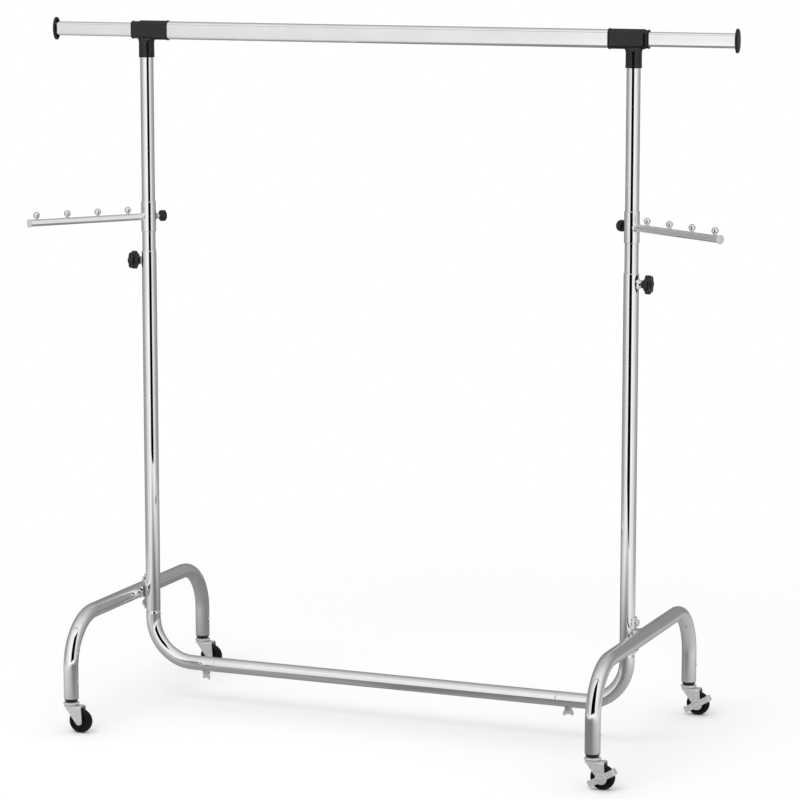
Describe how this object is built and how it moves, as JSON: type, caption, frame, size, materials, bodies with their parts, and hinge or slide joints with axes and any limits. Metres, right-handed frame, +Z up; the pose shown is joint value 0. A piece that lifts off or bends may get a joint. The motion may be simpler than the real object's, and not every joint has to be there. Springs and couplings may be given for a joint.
{
  "type": "rolling clothes rack",
  "caption": "Chromed rolling clothes rack with telescoping uprights, pull-out hanging bar ends, swivelling peg arms and swivel casters, two of them braked.",
  "frame": {"origin": "centre of the rack on the floor, under the middle of the top bar", "axes": "+X to the right along the top bar, +Y to the back, +Z up; the peg arms swing to the front, -Y"},
  "size_m": [1.5551, 0.6751, 1.4926],
  "materials": {
    "chromed_tube": "polished chrome plate",
    "chromed_small": "polished chrome plate",
    "zinc_steel": "bright zinc plate",
    "black_moulding": "moulded, semi-gloss",
    "nylon": "natural nylon",
    "wheel_black": "moulded, satin",
    "grey_cap": "moulded, satin"
  },
  "bodies": {
    "base_frame": {"base_rail": "chromed_tube", "left_leg_hoop": "chromed_tube", "left_leg_bracket": "chromed_small", "left_base_elbow": "chromed_tube", "left_lower_upright": "chromed_tube", "left_guide_bush": "nylon", "right_leg_hoop": "chromed_tube", "right_leg_bracket": "chromed_small", "right_base_elbow": "chromed_tube", "right_lower_upright": "chromed_tube", "right_guide_bush": "nylon", "bracket_bolts": "zinc_steel", "bracket_nuts": "zinc_steel", "caster_sockets": "black_moulding", "caster_stems": "zinc_steel", "socket_rivets": "zinc_steel"},
    "upper_frame": {"left_post": "chromed_tube", "left_tee": "black_moulding", "right_post": "chromed_tube", "right_tee": "black_moulding", "main_bar": "chromed_tube", "tee_screws": "zinc_steel"},
    "left_extension": {"left_extension_bar": "chromed_tube", "left_end_cap": "black_moulding"},
    "left_arm_carrier": {"left_arm_liner": "nylon"},
    "left_peg_arm": {"left_arm_collar": "chromed_tube", "left_arm_tube": "chromed_tube", "left_arm_pegs": "chromed_small", "left_arm_cap": "grey_cap"},
    "left_height_lock": {"left_height_knob": "black_moulding", "left_height_screw": "zinc_steel"},
    "left_arm_lock": {"left_arm_knob": "black_moulding", "left_arm_screw": "zinc_steel"},
    "left_rail_lock": {"left_wing_bolt": "zinc_steel"},
    "right_extension": {"right_extension_bar": "chromed_tube", "right_end_cap": "black_moulding"},
    "right_arm_carrier": {"right_arm_liner": "nylon"},
    "right_peg_arm": {"right_arm_collar": "chromed_tube", "right_arm_tube": "chromed_tube", "right_arm_pegs": "chromed_small", "right_arm_cap": "grey_cap"},
    "right_height_lock": {"right_height_knob": "black_moulding", "right_height_screw": "zinc_steel"},
    "right_arm_lock": {"right_arm_knob": "black_moulding", "right_arm_screw": "zinc_steel"},
    "right_rail_lock": {"right_wing_bolt": "zinc_steel"},
    "front_left_caster": {"front_left_fork": "zinc_steel", "front_left_axle": "zinc_steel"},
    "front_left_caster_wheel": {"front_left_wheel": "wheel_black"},
    "rear_left_caster": {"rear_left_fork": "zinc_steel", "rear_left_axle": "zinc_steel"},
    "rear_left_caster_wheel": {"rear_left_wheel": "wheel_black"},
    "front_right_caster": {"front_right_fork": "zinc_steel", "front_right_axle": "zinc_steel"},
    "front_right_caster_wheel": {"front_right_wheel": "wheel_black"},
    "front_right_brake": {"front_right_brake_lever": "zinc_steel"},
    "rear_right_caster": {"rear_right_fork": "zinc_steel", "rear_right_axle": "zinc_steel"},
    "rear_right_caster_wheel": {"rear_right_wheel": "wheel_black"},
    "rear_right_brake": {"rear_right_brake_lever": "zinc_steel"}
  },
  "joints": [
    {"name": "height_adjust", "type": "slide", "parent": "base_frame", "child": "upper_frame", "axis": [0, 0, 1], "range_m": [-0.04, 0.15]},
    {"name": "left_bar_pull_out", "type": "slide", "parent": "upper_frame", "child": "left_extension", "axis": [-1, 0, 0], "range_m": [-0.18, 0.15]},
    {"name": "left_arm_height", "type": "slide", "parent": "upper_frame", "child": "left_arm_carrier", "axis": [0, 0, 1], "range_m": [0, 0.3]},
    {"name": "left_arm_swing", "type": "hinge", "parent": "left_arm_carrier", "child": "left_peg_arm", "pos_m": [-0.5475, 0, 1.068], "axis": [0, 0, 1], "continuous": true},
    {"name": "left_height_knob_turn", "type": "hinge", "parent": "base_frame", "child": "left_height_lock", "pos_m": [-0.5875, 0, 0.972], "axis": [-1, 0, 0], "continuous": true},
    {"name": "left_arm_knob_turn", "type": "hinge", "parent": "left_peg_arm", "child": "left_arm_lock", "pos_m": [-0.5281, 0.0267, 1.068], "axis": [0.5878, 0.809, 0], "continuous": true},
    {"name": "left_wing_bolt_turn", "type": "hinge", "parent": "base_frame", "child": "left_rail_lock", "pos_m": [-0.4195, 0, 0.061], "axis": [0, 0, -1], "continuous": true},
    {"name": "right_bar_pull_out", "type": "slide", "parent": "upper_frame", "child": "right_extension", "axis": [1, 0, 0], "range_m": [-0.18, 0.15]},
    {"name": "right_arm_height", "type": "slide", "parent": "upper_frame", "child": "right_arm_carrier", "axis": [0, 0, 1], "range_m": [0, 0.28]},
    {"name": "right_arm_swing", "type": "hinge", "parent": "right_arm_carrier", "child": "right_peg_arm", "pos_m": [0.5475, 0, 1.088], "axis": [0, 0, 1], "continuous": true},
    {"name": "right_height_knob_turn", "type": "hinge", "parent": "base_frame", "child": "right_height_lock", "pos_m": [0.5875, 0, 0.972], "axis": [1, 0, 0], "continuous": true},
    {"name": "right_arm_knob_turn", "type": "hinge", "parent": "right_peg_arm", "child": "right_arm_lock", "pos_m": [0.52014, 0.01845, 1.088], "axis": [-0.829, 0.5592, 0], "continuous": true},
    {"name": "right_wing_bolt_turn", "type": "hinge", "parent": "base_frame", "child": "right_rail_lock", "pos_m": [0.4195, 0, 0.061], "axis": [0, 0, -1], "continuous": true},
    {"name": "front_left_swivel", "type": "hinge", "parent": "base_frame", "child": "front_left_caster", "pos_m": [-0.58295, -0.32, 0.058], "axis": [0, 0, 1], "continuous": true},
    {"name": "front_left_roll", "type": "hinge", "parent": "front_left_caster", "child": "front_left_caster_wheel", "pos_m": [-0.56095, -0.32, 0.025], "axis": [0, 1, 0], "continuous": true},
    {"name": "rear_left_swivel", "type": "hinge", "parent": "base_frame", "child": "rear_left_caster", "pos_m": [-0.58295, 0.32, 0.058], "axis": [0, 0, 1], "continuous": true},
    {"name": "rear_left_roll", "type": "hinge", "parent": "rear_left_caster", "child": "rear_left_caster_wheel", "pos_m": [-0.56095, 0.32, 0.025], "axis": [0, 1, 0], "continuous": true},
    {"name": "front_right_swivel", "type": "hinge", "parent": "base_frame", "child": "front_right_caster", "pos_m": [0.58295, -0.32, 0.058], "axis": [0, 0, 1], "continuous": true},
    {"name": "front_right_roll", "type": "hinge", "parent": "front_right_caster", "child": "front_right_caster_wheel", "pos_m": [0.60495, -0.32, 0.025], "axis": [0, 1, 0], "continuous": true},
    {"name": "front_right_brake_press", "type": "hinge", "parent": "front_right_caster", "child": "front_right_brake", "pos_m": [0.60495, -0.32, 0.025], "axis": [0, 1, 0], "range_deg": [0, 22]},
    {"name": "rear_right_swivel", "type": "hinge", "parent": "base_frame", "child": "rear_right_caster", "pos_m": [0.58295, 0.32, 0.058], "axis": [0, 0, 1], "continuous": true},
    {"name": "rear_right_roll", "type": "hinge", "parent": "rear_right_caster", "child": "rear_right_caster_wheel", "pos_m": [0.60495, 0.32, 0.025], "axis": [0, 1, 0], "continuous": true},
    {"name": "rear_right_brake_press", "type": "hinge", "parent": "rear_right_caster", "child": "rear_right_brake", "pos_m": [0.60495, 0.32, 0.025], "axis": [0, 1, 0], "range_deg": [0, 22]}
  ]
}
